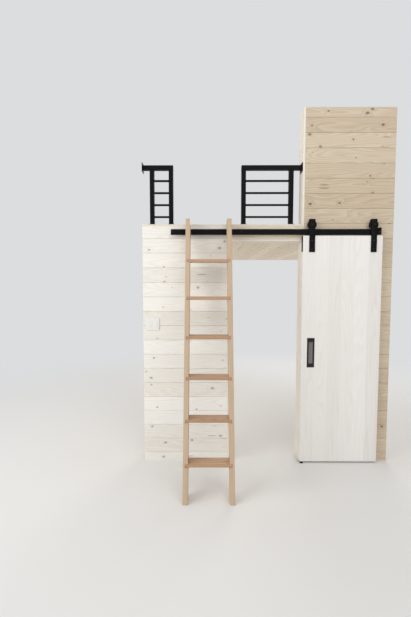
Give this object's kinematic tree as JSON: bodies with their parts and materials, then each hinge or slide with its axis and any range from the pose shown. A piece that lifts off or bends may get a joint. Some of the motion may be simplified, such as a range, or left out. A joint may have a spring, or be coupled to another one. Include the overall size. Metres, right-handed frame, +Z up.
{
  "type": "tiny house loft front",
  "caption": "Board partition with a doorway, a sliding barn door on a flat-bar track, a sleeping loft's floor with black steel guards and a leaning loft ladder.",
  "frame": {"origin": "front bottom corner of the partition's left end, where it meets the left side wall and the floor", "axes": "+X from the left side wall to the right one, +Y away from the room towards the space under the loft, +Z up"},
  "size_m": [2.23, 2.9584, 3.165],
  "materials": {
    "wall_pine": "whitewashed tongue-and-groove pine boards, small knots",
    "trim_pine": "whitewashed planed pine, paler than the boards",
    "loft_pine": "clear finished pine boards",
    "framing_fir": "planed framing timber",
    "ladder_fir": "clear finished fir, straight grain",
    "tread_fir": "clear finished fir, warmer and darker",
    "door_pine": "whitewashed, grain showing faintly",
    "black_steel": "satin black coating",
    "bolt_steel": "black oxide",
    "wheel_black": "satin black coating",
    "pull_bronze": "dark satin coating",
    "socket_plastic": "smooth white"
  },
  "bodies": {
    "loft_front": {"wall_left": "wall_pine", "wall_right": "wall_pine", "doorway_header": "wall_pine", "jamb_left": "trim_pine", "jamb_right": "trim_pine", "head_lining": "trim_pine", "wall_end_trim": "trim_pine", "loft_nosing": "trim_pine", "loft_deck": "loft_pine", "loft_joists": "framing_fir", "ledger_left": "framing_fir", "ledger_right": "framing_fir", "ledger_rear": "framing_fir", "soffit": "loft_pine", "left_guard_wall_post": "black_steel", "left_guard_gap_post": "black_steel", "left_guard_top_rail": "black_steel", "left_guard_bars": "black_steel", "left_guard_flange": "black_steel", "right_guard_gap_post": "black_steel", "right_guard_wall_post": "black_steel", "right_guard_top_rail": "black_steel", "right_guard_bars": "black_steel", "right_guard_flange": "black_steel", "ladder_stile_left": "ladder_fir", "ladder_stile_right": "ladder_fir", "ladder_tread_1": "tread_fir", "ladder_tread_2": "tread_fir", "ladder_tread_3": "tread_fir", "ladder_tread_4": "tread_fir", "ladder_tread_5": "tread_fir", "ladder_tread_6": "tread_fir", "track_rail": "black_steel", "track_spacers": "black_steel", "track_stop": "black_steel", "floor_guide": "black_steel", "socket_plate": "socket_plastic"},
    "door": {"door_panel": "door_pine", "door_pull": "pull_bronze", "door_edge_plate": "black_steel", "hanger_strap_left": "black_steel", "hanger_strap_right": "black_steel", "hanger_axles": "bolt_steel"},
    "wheel_left": {"wheel_left": "wheel_black"},
    "wheel_right": {"wheel_right": "wheel_black"}
  },
  "joints": [
    {"name": "door_slide", "type": "slide", "parent": "loft_front", "child": "door", "axis": [1, 0, 0], "range_m": [-0.662, 0]},
    {"name": "wheel_left_turn", "type": "hinge", "parent": "door", "child": "wheel_left", "pos_m": [1.498, -0.035, 2.148], "axis": [0, 1, 0], "range_deg": [-1030, 0]},
    {"name": "wheel_right_turn", "type": "hinge", "parent": "door", "child": "wheel_right", "pos_m": [2.038, -0.035, 2.148], "axis": [0, 1, 0], "range_deg": [-1030, 0]}
  ],
  "couplings": [
    {"joint": "wheel_left_turn", "follows": "door_slide", "rad_per_m": 27.027},
    {"joint": "wheel_right_turn", "follows": "door_slide", "rad_per_m": 27.027}
  ]
}
